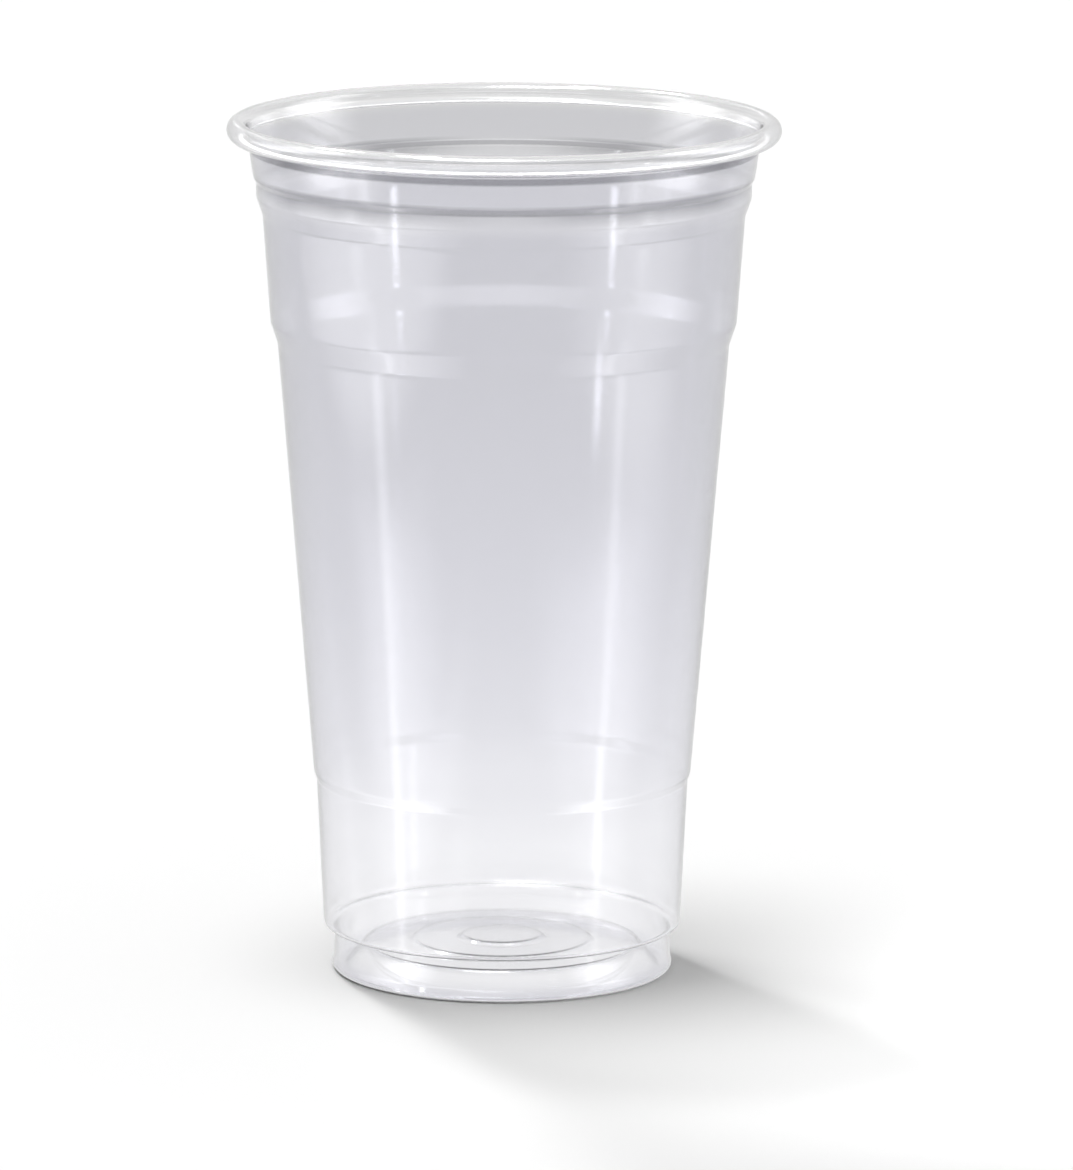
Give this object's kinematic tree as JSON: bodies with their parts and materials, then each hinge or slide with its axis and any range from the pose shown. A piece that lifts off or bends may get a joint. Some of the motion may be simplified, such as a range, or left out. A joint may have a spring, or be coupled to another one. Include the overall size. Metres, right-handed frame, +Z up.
{
  "type": "disposable cold cup",
  "caption": "Clear tapered disposable cold cup with a rolled rim, a stepped shoulder, two stacking ledges and a raised floor with concentric steps.",
  "frame": {"origin": "centre of the foot ring, on the surface that the cup stands on", "axes": "+Z up the cup's axis, out of its mouth"},
  "size_m": [0.096, 0.096, 0.15],
  "materials": {
    "clear_sheet": "clear thermoformed sheet with a gloss surface"
  },
  "bodies": {
    "root": {"cup": "clear_sheet"}
  },
  "joints": []
}
